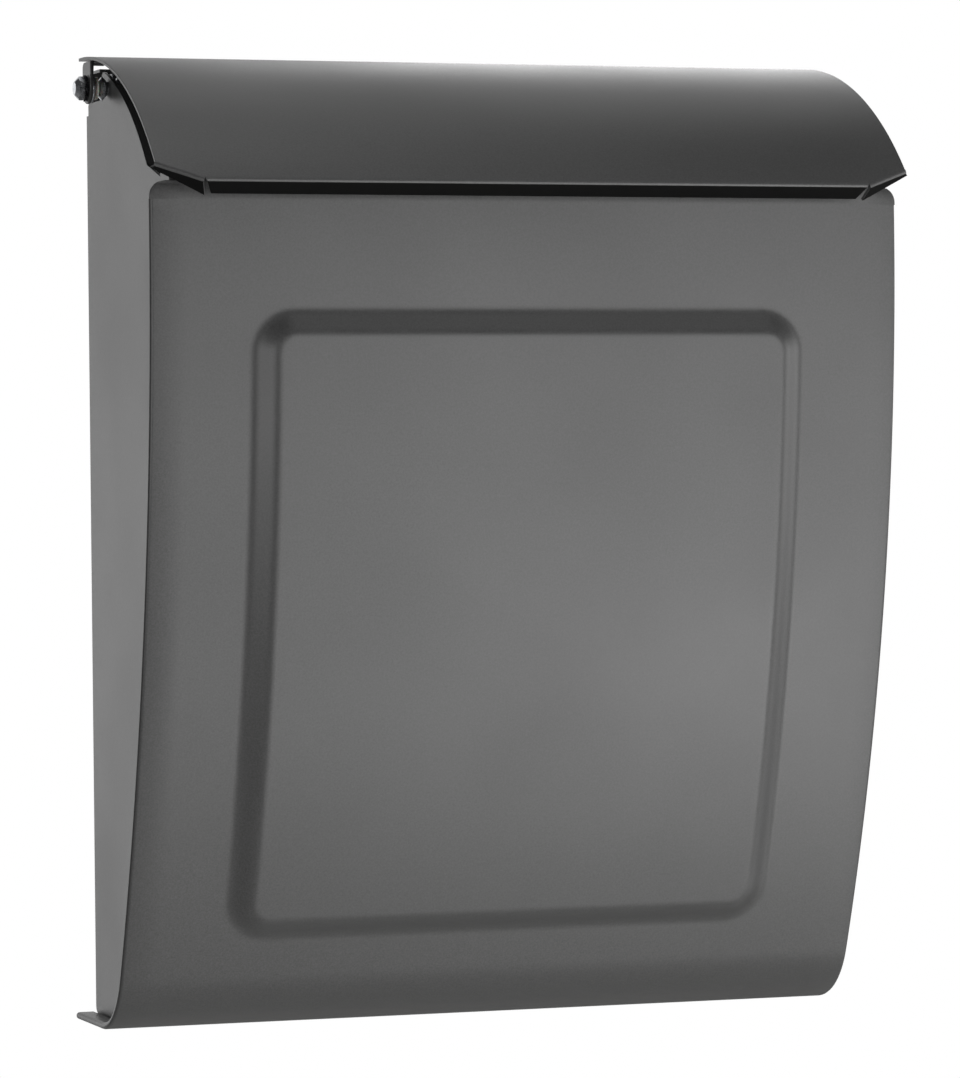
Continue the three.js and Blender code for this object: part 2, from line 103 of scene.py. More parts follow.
# %% Camera
CAMERA_PLACE = (-0.6372, -1.9085, 0.0306)
CAMERA_RIGHT = (0.945449, -0.325617, -0.009465)
CAMERA_UP = (0.014112, 0.011912, 0.999819)
LENS_MM = 167.1
camera = bpy.data.objects.new("camera", bpy.data.cameras.new("camera"))
bpy.context.scene.collection.objects.link(camera)
right, up = Vector(CAMERA_RIGHT), Vector(CAMERA_UP)
turn = Matrix((right, up, right.cross(up))).transposed()
camera.matrix_world = Matrix.Translation(CAMERA_PLACE) @ turn.to_4x4()
camera.data.lens = LENS_MM
camera.data.sensor_width = 36
camera.data.clip_start = 0.05
bpy.context.scene.camera = camera
print("camera at", [round(v, 3) for v in camera.location])

# %% [markdown]
# ## Powder coat
#
# The steel is covered with a polyester powder that is baked on. It flows out into a
# satin skin with a fine grain and a slight waviness, called orange peel. Three
# layers of noise give that skin: fine grains, a peel of about three millimetres, and
# slow patches where the coat is a little thicker. Edges are slightly lighter, because
# the coat is thin and worn there. In the tight fold along the front of the lid, shade
# is painted: the lid's coat turns near black there and loses most of its shine.


# %% Colours and one helper for nodes
def linear(text):
    """An sRGB colour written as hex, as the linear values that a shader takes."""
    channels = [int(text[i : i + 2], 16) / 255 for i in (0, 2, 4)]
    return tuple(c / 12.92 if c <= 0.04045 else ((c + 0.055) / 1.055) ** 2.4 for c in channels) + (1.0,)


def add(tree, kind, links=None, **settings):
    """One node of a kind. Settings that name a socket fill it, and links feed sockets from other nodes."""
    node = tree.nodes.new(kind)
    for key, value in settings.items():
        socket = node.inputs.get(key.replace("_", " "))
        if socket is None:
            setattr(node, key, value)
        else:
            socket.default_value = value
    for socket, source in (links or {}).items():
        tree.links.new(source, node.inputs[socket])
    return node


def new_material(name, base, metallic, roughness, **shader_settings):
    """A material with its shader, and the object's own coordinates in metres."""
    material = bpy.data.materials.new(name)
    material.use_nodes = True
    tree = material.node_tree
    shader = tree.nodes["Principled BSDF"]
    shader.inputs["Base Color"].default_value = linear(base)
    shader.inputs["Metallic"].default_value = metallic
    shader.inputs["Roughness"].default_value = roughness
    for socket, value in shader_settings.items():
        shader.inputs[socket.replace("_", " ")].default_value = value
    place = add(tree, "ShaderNodeTexCoord").outputs["Object"]
    return material, tree, shader, place


# %% Powder-coated steel
GRAPHITE, GRAPHITE_WORN = "2e2e2e", "404040"
SATIN = 0.40
GRAIN_MM = 0.7  # real grains are about 0.1 mm, drawn coarser so that they show
PEEL_MM = 3.5
PATCH_MM = 90
NOISE_RANGE = {"From_Min": 0.3, "From_Max": 0.7}  # nearly all of a noise lies between these
WORN_RANGE = {"From_Min": 0.52, "From_Max": 0.62, "To_Max": 0.35}  # from a flat face to a sharp edge


def powder_coated_steel(name):
    """Satin powder coat on steel: a dielectric skin with fine grain, peel and slightly lighter edges."""
    material, tree, shader, place = new_material(name, GRAPHITE, 0.0, SATIN)
    layers, here = [], {"Vector": place}
    for size_mm, detail, coarse in ((GRAIN_MM, 3.0, 0.7), (PEEL_MM, 1.0, 0.5), (PATCH_MM, 2.0, 0.5)):
        scale = 1 / (size_mm * MM)
        layer = add(tree, "ShaderNodeTexNoise", here, Scale=scale, Detail=detail, Roughness=coarse)
        layers.append(layer.outputs["Fac"])
    grain, peel, patch = layers

    grainy = add(tree, "ShaderNodeMapRange", {"Value": grain}, **NOISE_RANGE)
    tint = add(tree, "ShaderNodeMix", {"Factor": grainy.outputs["Result"]}, data_type="RGBA")
    tint.inputs["A"].default_value = linear(GRAPHITE)
    tint.inputs["B"].default_value = linear(GRAPHITE_WORN)
    edge = add(tree, "ShaderNodeNewGeometry").outputs["Pointiness"]
    worn = add(tree, "ShaderNodeMapRange", {"Value": edge}, **WORN_RANGE).outputs["Result"]
    coat = add(tree, "ShaderNodeMix", {"Factor": worn, "A": tint.outputs["Result"]}, data_type="RGBA")
    coat.inputs["B"].default_value = linear(GRAPHITE_WORN)
    tree.links.new(coat.outputs["Result"], shader.inputs["Base Color"])

    fine = add(tree, "ShaderNodeMapRange", {"Value": grain}, **NOISE_RANGE, To_Min=-0.04, To_Max=0.04)
    low, high = SATIN - 0.02, SATIN + 0.03
    slow = add(tree, "ShaderNodeMapRange", {"Value": patch}, **NOISE_RANGE, To_Min=low, To_Max=high)
    both = {0: fine.outputs["Result"], 1: slow.outputs["Result"]}
    rough = add(tree, "ShaderNodeMath", both, operation="ADD")
    tree.links.new(rough.outputs[0], shader.inputs["Roughness"])

    peeled = add(tree, "ShaderNodeBump", {"Height": peel}, Strength=0.25, Distance=0.00005).outputs[0]
    bump = add(tree, "ShaderNodeBump", {"Height": grain, "Normal": peeled}, Strength=0.35, Distance=0.00004)
    tree.links.new(bump.outputs[0], shader.inputs["Normal"])
    return material


graphite_powder_coat = powder_coated_steel("graphite_powder_coat")
print("made", graphite_powder_coat.name)

# %% Painted shade in the fold of the lid
FOLD_NORMAL = (0.21, -0.63, -0.75)  # the way the lid's turned-in edge faces, on its right half
# painted shade: a near-black colour stands in for the shade in the lid's fold
FOLD_SHADE_COLOUR = "070707"
PAINTED_SHADE_RANGE = {"From_Min": 0.91, "From_Max": 0.95}  # how closely a face has to be turned that way
PAINTED_SHADE_SPECULAR = {"To_Min": 0.5, "To_Max": 0.08}  # from the coat's specular level to the lower one of the painted shade


def paint_shade_in_fold(material):
    """Paints shade on the faces that are turned like the fold, on both halves of the lid: near black, with
    little shine.
    """
    tree = material.node_tree
    shader = tree.nodes["Principled BSDF"]
    normal = add(tree, "ShaderNodeTexCoord").outputs["Normal"]
    parts = add(tree, "ShaderNodeSeparateXYZ", {"Vector": normal}).outputs
    sideways = add(tree, "ShaderNodeMath", {0: parts["X"]}, operation="ABSOLUTE").outputs[0]
    folded = add(tree, "ShaderNodeCombineXYZ", {"X": sideways, "Y": parts["Y"], "Z": parts["Z"]})
    facing = add(tree, "ShaderNodeVectorMath", {0: folded.outputs[0]}, operation="DOT_PRODUCT")
    facing.inputs[1].default_value = FOLD_NORMAL
    turned_to = facing.outputs["Value"]
    # painted shade: how much of the near-black colour and the lower shine goes on a face
    fold_shade_mask = add(tree, "ShaderNodeMapRange", {"Value": turned_to}, interpolation_type="SMOOTHSTEP", **PAINTED_SHADE_RANGE)
    shade_share = fold_shade_mask.outputs["Result"]
    coat = shader.inputs["Base Color"].links[0].from_socket
    colour = add(tree, "ShaderNodeMix", {"Factor": shade_share, "A": coat}, data_type="RGBA")
    colour.inputs["B"].default_value = linear(FOLD_SHADE_COLOUR)
    tree.links.new(colour.outputs["Result"], shader.inputs["Base Color"])
    sheen = add(tree, "ShaderNodeMapRange", {"Value": shade_share}, **PAINTED_SHADE_SPECULAR)
    tree.links.new(sheen.outputs["Result"], shader.inputs["Specular IOR Level"])


lid_coat = powder_coated_steel("graphite_powder_coat_lid")
# the lid's coat gets painted shade in its fold
paint_shade_in_fold(lid_coat)
print("made", lid_coat.name)

# %% [markdown]
# ## Fasteners
#
# The bolts, nuts and flat washers are steel with bright zinc plate: a metal with soft
# reflections and faint cloudy patches. The toothed washer is blackened spring steel,
# and the spacer is natural nylon, which is cloudy and lets a little light in.


# %% Zinc plate, blackened spring steel and nylon
CLOUD_MM, NYLON_MM = 1.6, 1.2
MARK_MM = 0.3  # real marks are finer, drawn coarser so that they show


def plated_steel(name, base, cloud, roughness):
    """Metal with cloudy plating and the fine marks that machining leaves."""
    material, tree, shader, place = new_material(name, base, 1.0, roughness)
    cloudy = add(tree, "ShaderNodeTexNoise", {"Vector": place}, Scale=1 / (CLOUD_MM * MM), Detail=3.0)
    shade = add(tree, "ShaderNodeMapRange", {"Value": cloudy.outputs["Fac"]}, **NOISE_RANGE)
    tint = add(tree, "ShaderNodeMix", {"Factor": shade.outputs["Result"]}, data_type="RGBA")
    tint.inputs["A"].default_value = linear(base)
    tint.inputs["B"].default_value = linear(cloud)
    tree.links.new(tint.outputs["Result"], shader.inputs["Base Color"])
    scratched = add(tree, "ShaderNodeTexNoise", {"Vector": place}, Scale=1 / (MARK_MM * MM), Detail=2.0)
    marks = scratched.outputs["Fac"]
    low, high = roughness - 0.06, roughness + 0.1
    rough = add(tree, "ShaderNodeMapRange", {"Value": marks}, **NOISE_RANGE, To_Min=low, To_Max=high)
    tree.links.new(rough.outputs["Result"], shader.inputs["Roughness"])
    bump = add(tree, "ShaderNodeBump", {"Height": marks}, Strength=0.2, Distance=0.00002)
    tree.links.new(bump.outputs[0], shader.inputs["Normal"])
    return material


bright_zinc = plated_steel("bright_zinc_plate", "c9cbce", "aeb1b6", 0.28)
black_spring_steel = plated_steel("blackened_spring_steel", "3c3c3f", "2b2b2d", 0.4)

natural_nylon, tree, shader, place = new_material(
    "natural_nylon", "d9d6cb", 0.0, 0.45, Subsurface_Weight=0.2, Subsurface_Scale=0.002
)
cloudy = add(tree, "ShaderNodeTexNoise", {"Vector": place}, Scale=1 / (NYLON_MM * MM), Detail=2.0)
clouds = {"Value": cloudy.outputs["Fac"]}
rough = add(tree, "ShaderNodeMapRange", clouds, **NOISE_RANGE, To_Min=0.38, To_Max=0.55)
tree.links.new(rough.outputs["Result"], shader.inputs["Roughness"])
print("made", bright_zinc.name, black_spring_steel.name, natural_nylon.name)

# %% [markdown]
# ## From numbers to solid pieces
#
# The lid is a skin of quads that Solidify makes as thick as the sheet. The other
# sheets are solid from the start, drawn as a section or an outline that is carried
# along. A coated edge is never sharp, so Bevel rounds the cut edges, except on the
# front panel, whose section is drawn round already. Outer faces stay where the
# measured model has them.

# %% Helpers for pieces
EDGE_MM = 0.3
EDGE_ANGLE = math.radians(50)  # only edges sharper than this are rounded
SMOOTH_ANGLE = math.radians(35)


def finish_piece(name, mesh, material, body, nodes):
    """Names a piece, gives it its finish, and puts it on its body in place of the nodes it stands for."""
    piece = bpy.data.objects.new(name, mesh)
    bpy.context.scene.collection.objects.link(piece)
    mesh.materials.append(material)
    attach(piece, body)
    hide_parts(*nodes)
    return piece


def mesh_from(vertices, faces, name):
    """A mesh in metres from points in millimetres, with close points joined and faces turned outwards."""
    mesh = bpy.data.meshes.new(name)
    mesh.from_pydata([tuple(c * MM for c in v) for v in vertices], [], faces)
    work = bmesh.new()
    work.from_mesh(mesh)
    bmesh.ops.remove_doubles(work, verts=work.verts, dist=0.01 * MM)
    bmesh.ops.recalc_face_normals(work, faces=work.faces)
    work.to_mesh(mesh)
    work.free()
    mesh.shade_smooth()
    return mesh


def apply_modifiers(piece):
    """Turns what the modifiers make into the piece's own mesh."""
    graph = bpy.context.evaluated_depsgraph_get()
    made = bpy.data.meshes.new_from_object(piece.evaluated_get(graph))
    piece.modifiers.clear()
    piece.data = made
    return piece


def bevel_edges(piece, segments):
    """Adds a Bevel that rounds the cut edges of a solid piece."""
    bevel = piece.modifiers.new("edges", "BEVEL")
    bevel.width = EDGE_MM * MM
    bevel.segments = segments
    bevel.limit_method = "ANGLE"
    bevel.angle_limit = EDGE_ANGLE


def round_edges(piece):
    """Rounds the cut edges of a solid piece, and lets its large faces lead the shading."""
    bevel_edges(piece, 3)
    weighted = piece.modifiers.new("shading", "WEIGHTED_NORMAL")
    weighted.weight = 100
    weighted.keep_sharp = True
    return apply_modifiers(piece)


# %% A folded line, walked along its outer face
TINY = 1e-9  # a distance that ends one run counts as the start of the next


def folded_line(y, z, heading, runs):
    """A folded sheet's length, and a function for its point (y, z) at a distance along it and a depth."""
    starts, distance = [], 0.0
    for length, radius in runs:
        starts.append((distance, y, z, heading, radius))
        turned = length / radius if radius else 0.0
        chord = 2 * math.sin(turned / 2) * radius if radius else length
        y += chord * math.cos(heading + turned / 2)
        z += chord * math.sin(heading + turned / 2)
        heading += turned
        distance += length

    def point(at, depth=0.0):
        start, y0, z0, heading0, radius = [s for s in starts if s[0] <= at + TINY][-1]
        gone = at - start
        turned = gone / radius if radius else 0.0
        chord = 2 * math.sin(turned / 2) * radius if radius else gone
        middle, facing = heading0 + turned / 2, heading0 + turned
        return (
            y0 + chord * math.cos(middle) - depth * math.sin(facing),
            z0 + chord * math.sin(middle) + depth * math.cos(facing),
        )

    return point, distance


def steps(low, high, size):
    """Evenly spaced numbers from low up to, but not including, high, at most a given size apart."""
    count = max(1, math.ceil((high - low) / size))
    return [low + (high - low) * i / count for i in range(count)]


def spaced(stops):
    """Numbers from the first stop to the last, where each stop says how far apart they are up to the next."""
    numbers = []
    for (low, size), (high, _) in zip(stops, stops[1:]):
        numbers += steps(low, high, size)
    return numbers + [stops[-1][0]]


# %% [markdown]
# ## Front panel
#
# One sheet bulges forward, turns under in a soft bend and runs back to the wall as a
# lip. A press raises a field in its middle, with a soft slope all round. The long
# sides are hemmed: the edge is folded back on itself, so it is round and safe to the
# hand. The section across the panel is drawn once, hem and all, and then swept down the folded line.

# %% Measures of the front panel
FRONT_DEPTH = 121.6
APEX_DROP = 23.2
BEND_RADIUS = 33.0
LIP_LENGTH = 37.4
CORNER_RADIUS = 6.0
CORNER_TIP = 0.1  # the top row ends this far outside the start of the corner's arc
HEM_WIDTH = 6.9
HEM_DEPTH = 2.7
HEM_DROP = 7.0
FIELD_SIDE, FIELD_TOP, FIELD_BOTTOM = 38.8, 47.0, 15.5
FIELD_RAISE, FIELD_SLOPE, FIELD_CORNER = 4.5, 10.7, 17.0

bend_z = BOTTOM + BEND_RADIUS
fall = FRONT_TOP - APEX_DROP - bend_z
reach = FRONT_DEPTH - LIP_LENGTH
bulge_radius = (reach**2 + fall**2 - BEND_RADIUS**2) / (2 * (reach - BEND_RADIUS))
top_angle = math.asin(APEX_DROP / bulge_radius)
end_angle = math.asin(fall / (bulge_radius - BEND_RADIUS))
bulge_run = bulge_radius * (top_angle + end_angle)
bend_run = BEND_RADIUS * (math.pi / 2 - end_angle)
front_point, front_length = folded_line(
    -FRONT_DEPTH + bulge_radius * (1 - math.cos(top_angle)),
    FRONT_TOP,
    -math.pi / 2 - top_angle,
    [(bulge_run, bulge_radius), (bend_run, BEND_RADIUS), (LIP_LENGTH, None)],
)
field_half = FRONT_HALF - FIELD_SIDE
field_middle = (FIELD_TOP + bulge_run - FIELD_BOTTOM) / 2
field_reach = (bulge_run - FIELD_BOTTOM - FIELD_TOP) / 2
print(f"bulge radius {bulge_radius:.0f} mm, sheet {front_length:.0f} mm long")


# %% Pressed field and rounded corners
def raise_at(x, distance):
    """How far the press has raised the panel: an S-shaped slope up to a level field."""
    out_x = abs(x) - (field_half - FIELD_CORNER)
    out_run = abs(distance - field_middle) - (field_reach - FIELD_CORNER)
    past = math.hypot(max(out_x, 0), max(out_run, 0)) + min(max(out_x, out_run), 0)
    part = min(max((FIELD_CORNER - past) / FIELD_SLOPE, 0), 1)
    return FIELD_RAISE * part * part * (3 - 2 * part)


def front_half_at(distance):
    """Half the panel's width: full, except in the rounded top corners."""
    if distance >= CORNER_RADIUS:
        return FRONT_HALF
    left = CORNER_RADIUS - distance
    return FRONT_HALF - CORNER_RADIUS + math.sqrt(max(CORNER_RADIUS**2 - left**2, CORNER_TIP**2))


# %% Section across the panel, swept down it
HEM_ROUND = HEM_DEPTH / 2
HEM_ARC_STEPS = 8
HEM_SLIT = 1.2  # the slit in the hem ends this far inside the panel's edge
HEM_CLEAR = 8.0  # the evenly spaced columns end this far inside the panel's edge
CUT_ROUND, CUT_BACK = 0.25, 0.3  # the plain cut edge above the hem: its rounding, and where its back starts
HAIR = 0.02  # far enough apart for points to stay separate
FINE_PAST = 7.0  # fine rows and columns run this far past the slope
FINE_STEP, MARGIN_STEP, FIELD_STEP = 1.2, 6.0, 9.0

slope = steps(0, FIELD_SLOPE + FINE_PAST, FINE_STEP)
level_half = field_half - FIELD_SLOPE - FINE_PAST
margin = steps(field_half + 1, FRONT_HALF - HEM_CLEAR, MARGIN_STEP)
front_columns = [-x for x in reversed(margin)] + [-field_half + s for s in slope]
front_columns += steps(-level_half, level_half, FIELD_STEP)
front_columns += [field_half - s for s in reversed(slope)] + margin


def front_section(distance):
    """The closed section of the sheet at one distance down the panel, as (x, depth) points."""
    half = front_half_at(distance)
    hemmed = distance >= HEM_DROP
    outer = [(x, -raise_at(x, distance)) for x in front_columns]
    under = [(x, SHEET - raise_at(x, distance)) for x in reversed(front_columns)]
    deep = HEM_ROUND if hemmed else SHEET / 2
    wide = HEM_ROUND if hemmed else CUT_ROUND
    right_side = []
    for i in range(HEM_ARC_STEPS + 1):
        angle = -math.pi / 2 + math.pi * i / HEM_ARC_STEPS
        right_side.append((half - wide + wide * math.cos(angle), deep + deep * math.sin(angle)))
    if hemmed:
        right_side += [(half - HEM_WIDTH, HEM_DEPTH), (half - HEM_WIDTH, HEM_DEPTH - SHEET)]
        right_side += [(half - HEM_SLIT, HEM_DEPTH - SHEET - HAIR), (half - HEM_SLIT, SHEET)]
    else:
        right_side += [(half - CUT_BACK - HAIR * i, SHEET) for i in range(4)]
    left_side = [(-x, d) for x, d in reversed(right_side)]
    return outer + right_side + under + left_side


HEM_START = 0.05  # the plain edge changes to the hem within this length
field_foot = bulge_run - FIELD_BOTTOM
front_rows = spaced(
    [
        (0, 0.7),
        (HEM_DROP - HEM_START, 1),
        (HEM_DROP, 5),
        (FIELD_TOP - 1, FINE_STEP),
        (FIELD_TOP + FIELD_SLOPE + FINE_PAST, MARGIN_STEP),
        (field_foot - FIELD_SLOPE - FINE_PAST, FINE_STEP),
        (field_foot + 1, 2),
        (bulge_run, 2.5),
        (bulge_run + bend_run, front_length),
        (front_length, None),
    ]
)
print("front panel:", len(front_rows), "rows of", len(front_section(0)), "points")


def swept(sections):
    """Vertices and faces of a closed section carried through a row of places, with both ends closed."""
    count = len(sections[0])
    vertices = [v for section in sections for v in section]
    faces = []
    for row in range(len(sections) - 1):
        for i in range(count):
            a, b = row * count + i, row * count + (i + 1) % count
            faces.append((a, b, b + count, a + count))
    return vertices, faces + [tuple(range(count))[::-1], tuple(range(len(vertices) - count, len(vertices)))]


sections = []
for distance in front_rows:
    sections.append([(x, *front_point(distance, depth)) for x, depth in front_section(distance)])
vertices, faces = swept(sections)
front_panel = finish_piece(
    "front_panel_pressed",
    mesh_from(vertices, faces, "front_panel_pressed"),
    graphite_powder_coat,
    "box",
    ["front_panel"],
)
front_panel.data.set_sharp_from_angle(angle=SMOOTH_ANGLE)
print("front panel:", len(front_panel.data.polygons), "faces")

# %% [markdown]
# ## Lid
#
# The lid is rolled to an arc. Along its front, and along its two cut corners, the
# edge is bent down and in, so that rain drips clear of the mail. The flat blank is
# worked out first, and each flange is then bent round its own fold line, just as
# the sheet was folded. The three flanges stay apart at the corners, because
# the blank is notched there.

# %% Measures of the lid
LID_RADIUS = 148.5
LID_CENTRE_Y = -23.0
LID_REAR_Y = -20.2
LID_RUN = 132.7
LID_BEND = 1.3
CORNER_BEND = 1.6
DRIP_EDGE = 7.5
DRIP_MITRE = 3.5
CUT_WIDTH, CUT_RUN = 16.5, 7.75
CORNER_FLANGE_START = 2.6

lid_rear_angle = math.asin((LID_REAR_Y - LID_CENTRE_Y) / LID_RADIUS)
lid_arc = LID_RUN - LID_BEND
lid_point, lid_length = folded_line(
    LID_REAR_Y,
    TOP - LID_RADIUS * (1 - math.cos(lid_rear_angle)),
    math.pi - lid_rear_angle,
    [
        (lid_arc, LID_RADIUS),
        (LID_BEND * math.pi / 2, LID_BEND),
        (DRIP_EDGE - LID_BEND, None),
    ],
)
slant = math.hypot(CUT_WIDTH, CUT_RUN)
# A corner flange folds along a line that lies one bend radius inside the cut corner's outline.
cut_start = LID_RUN - CUT_RUN - CORNER_BEND * slant / CUT_WIDTH


def lid_half_at(distance):
    """Half the width of the lid's skin: full, then narrowing along the fold of the cut corner."""
    return LID_HALF - CUT_WIDTH / CUT_RUN * max(distance - cut_start, 0)


fold_half = lid_half_at(lid_arc)
print(f"lid sheet {lid_length:.0f} mm long, with {2 * fold_half:.0f} mm of drip edge")


# %% Skin and drip edge of the lid
def skin_point(x, distance, depth=0.0):
    return (x, *lid_point(distance, depth))


lid_vertices, lid_faces = [], []


def add_grid(rows):
    """Adds a grid of quads to the lid from rows of points."""
    first, wide = len(lid_vertices), len(rows[0])
    for row in rows:
        lid_vertices.extend(row)
    for r in range(len(rows) - 1):
        for c in range(wide - 1):
            a = first + r * wide + c
            lid_faces.append((a, a + 1, a + 1 + wide, a + wide))


across = [i / 30 for i in range(-30, 31)]
skin_rows = steps(0, cut_start, 3) + steps(cut_start, lid_arc, 0.9) + [lid_arc]
add_grid([[skin_point(u * lid_half_at(s), s) for u in across] for s in skin_rows])
bend_end = lid_arc + LID_BEND * math.pi / 2
drip_rows = steps(lid_arc, bend_end, 0.5) + [bend_end, lid_length]


def drip_half_at(distance):
    """The drip edge is mitred, so its free edge is shorter than its fold."""
    return fold_half - DRIP_MITRE * (distance - lid_arc) / (lid_length - lid_arc)


add_grid([[skin_point(u * drip_half_at(s), s) for u in across] for s in drip_rows])


# %% Corner flanges of the lid
CORNER_STEPS = 8
CORNER_REACH = 1.68  # the free edge runs this far past the fold's end, towards the notch
CORNER_START = 1.12  # and starts this far behind the fold's beginning, at the side of the lid
PROBE = 0.01  # the fold's direction is measured over this part of the cut corner
STEP_BACK = 1e-3  # and this far back, in millimetres, so that it is always measured on the arc


def corner_flange(side):
    """A flange folded down along one cut corner, deeper towards the front."""
    rows = []
    for distance in [d for d in skin_rows if d >= cut_start]:
        along = (distance - cut_start) / (lid_arc - cut_start)
        x = lid_half_at(distance)
        base = Vector(skin_point(side * x, distance))
        inside = (Vector(skin_point(side * x, distance, 1.0)) - base).normalized()
        ahead = Vector(skin_point(side * (x - CUT_WIDTH * PROBE), distance - STEP_BACK)) - base
        ahead += Vector(skin_point(0, distance)) - Vector(skin_point(0, distance - CUT_RUN * PROBE))
        ahead.normalize()
        outward = ahead.cross(inside).normalized() * side
        if outward.x * side < 0:
            outward.negate()
        deep = CORNER_FLANGE_START + (DRIP_EDGE - CORNER_FLANGE_START) * along
        slide = ahead * (CORNER_REACH * along - CORNER_START * (1 - along))
        row = []
        for i in range(CORNER_STEPS + 1):
            bent = math.pi / 2 * i / CORNER_STEPS
            down = inside * CORNER_BEND * (1 - math.cos(bent))
            row.append(base + outward * CORNER_BEND * math.sin(bent) + down)
        row.append(base + outward * CORNER_BEND + inside * deep + slide)
        rows.append([tuple(p) for p in row])
    add_grid(rows)


corner_flange(-1)
corner_flange(1)
lid = finish_piece(
    "lid_curved",
    mesh_from(lid_vertices, lid_faces, "lid_curved"),
    lid_coat,
    "lid",
    ["lid"],
)


def thicken(piece, inner_point):
    """Gives a skin its thickness on the inner side. inner_point lies well inside the curve of the sheet."""
    mesh = piece.data
    middle = mesh.polygons[len(mesh.polygons) // 4]
    faces_out = (middle.center - Vector(inner_point)).dot(middle.normal) > 0
    solid = piece.modifiers.new("thickness", "SOLIDIFY")
    solid.thickness = SHEET * MM
    solid.offset = -1 if faces_out else 1
    solid.use_even_offset = True
    return round_edges(piece)


thicken(lid, (0, LID_CENTRE_Y * MM, (TOP - LID_RADIUS) * MM))
print("lid:", len(lid.data.polygons), "faces")

# %% [markdown]
# ## Side panels
#
# Each side is one flat blank that stands 8 mm inside the edges of the front panel.
# Its front edge follows the bulge, its top edge follows the mouth, and a
# tab at the top carries the hinge bolt. A tooth at the front of the mouth holds up the
# closed lid. Narrow flanges turn inwards for the welds and to keep cut edges away
# from the hand. The outline is drawn once and then given its thickness.

# %% Measures of a side panel
SIDE_OUT = side_high.x
SIDE_IN = SIDE_OUT - SHEET
SIDE_SETBACK = 1.5
TAB_REAR, TAB_TOP, TAB_CORNER = -23.5, TOP - 5.6, 3.0
MOUTH_RADIUS = 131.0
SHOULDER_Y, SHOULDER_Z = -88.9, FRONT_TOP + 7.5
REST_Z = TOP - 16.2
RELIEF_Z, RELIEF_DEPTH, RELIEF_CORNER = TOP - 21.0, 2.7, 1.5
SIDE_CORNER = 3.0
SIDE_BOTTOM = side_low.z
STOP_DEPTH, STOP_GAP, STOP_FOOT = 12.0, 0.4, 2.0
STOP_STEPS = 6
FRONT_FLANGE, REAR_FLANGE, MOUTH_FLANGE, SETBACK = 10.0, 12.0, 5.0, 10.0
WELD_GAP = 0.3  # sheets that are welded together are drawn this far apart


def arc(cy, cz, radius, start, end, count):
    """Points (y, z) of an arc, with angles in degrees from +Y towards +Z."""
    angles = [math.radians(start + (end - start) * i / count) for i in range(count + 1)]
    return [(cy + radius * math.cos(a), cz + radius * math.sin(a)) for a in angles]


def mouth_centre():
    """The centre of the mouth's arc, which runs from the tab to the front shoulder."""
    first, last = Vector((TAB_REAR - TAB_CORNER, TAB_TOP)), Vector((SHOULDER_Y, SHOULDER_Z))
    across_mouth = last - first
    square = Vector((-across_mouth.y, across_mouth.x)).normalized()
    return (first + last) / 2 + square * math.sqrt(MOUTH_RADIUS**2 - across_mouth.length_squared / 4)


mouth = mouth_centre()
print(f"the mouth's arc is centred at y {mouth.x:.1f} z {mouth.y:.1f}")


def mouth_angle(y, z):
    return math.degrees(math.atan2(z - mouth.y, y - mouth.x))


# %% Outline of a side panel
def lid_underside(y):
    """The height at which the stop touches the closed lid."""
    radius = LID_RADIUS - SHEET - STOP_GAP
    return TOP - LID_RADIUS + math.sqrt(radius**2 - (y - LID_CENTRE_Y) ** 2)


low_reach = BEND_RADIUS - SIDE_SETBACK
low_part = math.acos((bend_z - SIDE_BOTTOM) / low_reach)
low_y = -LIP_LENGTH - low_reach * math.sin(low_part)
low_run = bulge_run + bend_run - BEND_RADIUS * low_part
front_edge = [front_point(d, SIDE_SETBACK) for d in steps(0, bulge_run, 6) + steps(bulge_run, low_run, 2)]
stop_rear = front_edge[0][0] + STOP_DEPTH
stop_ys = [stop_rear - STOP_DEPTH * i / STOP_STEPS for i in range(STOP_STEPS + 1)]
mouth_rear = mouth_angle(TAB_REAR - TAB_CORNER, TAB_TOP)
mouth_front = mouth_angle(SHOULDER_Y, SHOULDER_Z)

side_outline = arc(-SIDE_CORNER, SIDE_BOTTOM + SIDE_CORNER, SIDE_CORNER, -90, 0, 6)
side_outline += [(0, RELIEF_Z), (-RELIEF_DEPTH, RELIEF_Z)]
side_outline += arc(-RELIEF_DEPTH - RELIEF_CORNER, REST_Z - RELIEF_CORNER, RELIEF_CORNER, 0, 90, 6)
side_outline += [(TAB_REAR, REST_Z)]
side_outline += arc(TAB_REAR - TAB_CORNER, TAB_TOP - TAB_CORNER, TAB_CORNER, 0, 90, 6)
side_outline += arc(mouth.x, mouth.y, MOUTH_RADIUS, mouth_rear, mouth_front, 60)[1:]
side_outline += [(stop_rear, FRONT_TOP + STOP_FOOT)]
side_outline += [(y, lid_underside(y)) for y in stop_ys] + front_edge + [(low_y, SIDE_BOTTOM)]
print("side outline:", len(side_outline), "points")


# %% Plates cut from an outline
def plate(outline, x0, x1, side):
    """Vertices and faces of a flat plate whose (y, z) outline is carried from x0 to x1."""
    count = len(outline)
    vertices = [(side * x, y, z) for x in (x0, x1) for y, z in outline]
    faces = [tuple(range(count)), tuple(range(count, 2 * count))]
    for i in range(count):
        j = (i + 1) % count
        faces.append((i, j, j + count, i + count))
    return vertices, faces


def strip(inner, outer, x0, x1, side):
    """A plate that lies between two rows of (y, z) points, carried from x0 to x1."""
    rows = []
    for p, q in zip(inner, outer):
        rows.append([(side * x0, *p), (side * x1, *p), (side * x1, *q), (side * x0, *q)])
    return swept(rows)


def joined(parts):
    """Several solids as one list of vertices and faces."""
    vertices, faces = [], []
    for part_vertices, part_faces in parts:
        start = len(vertices)
        vertices += part_vertices
        faces += [tuple(start + i for i in face) for face in part_faces]
    return vertices, faces


HOLE_STEPS = 24


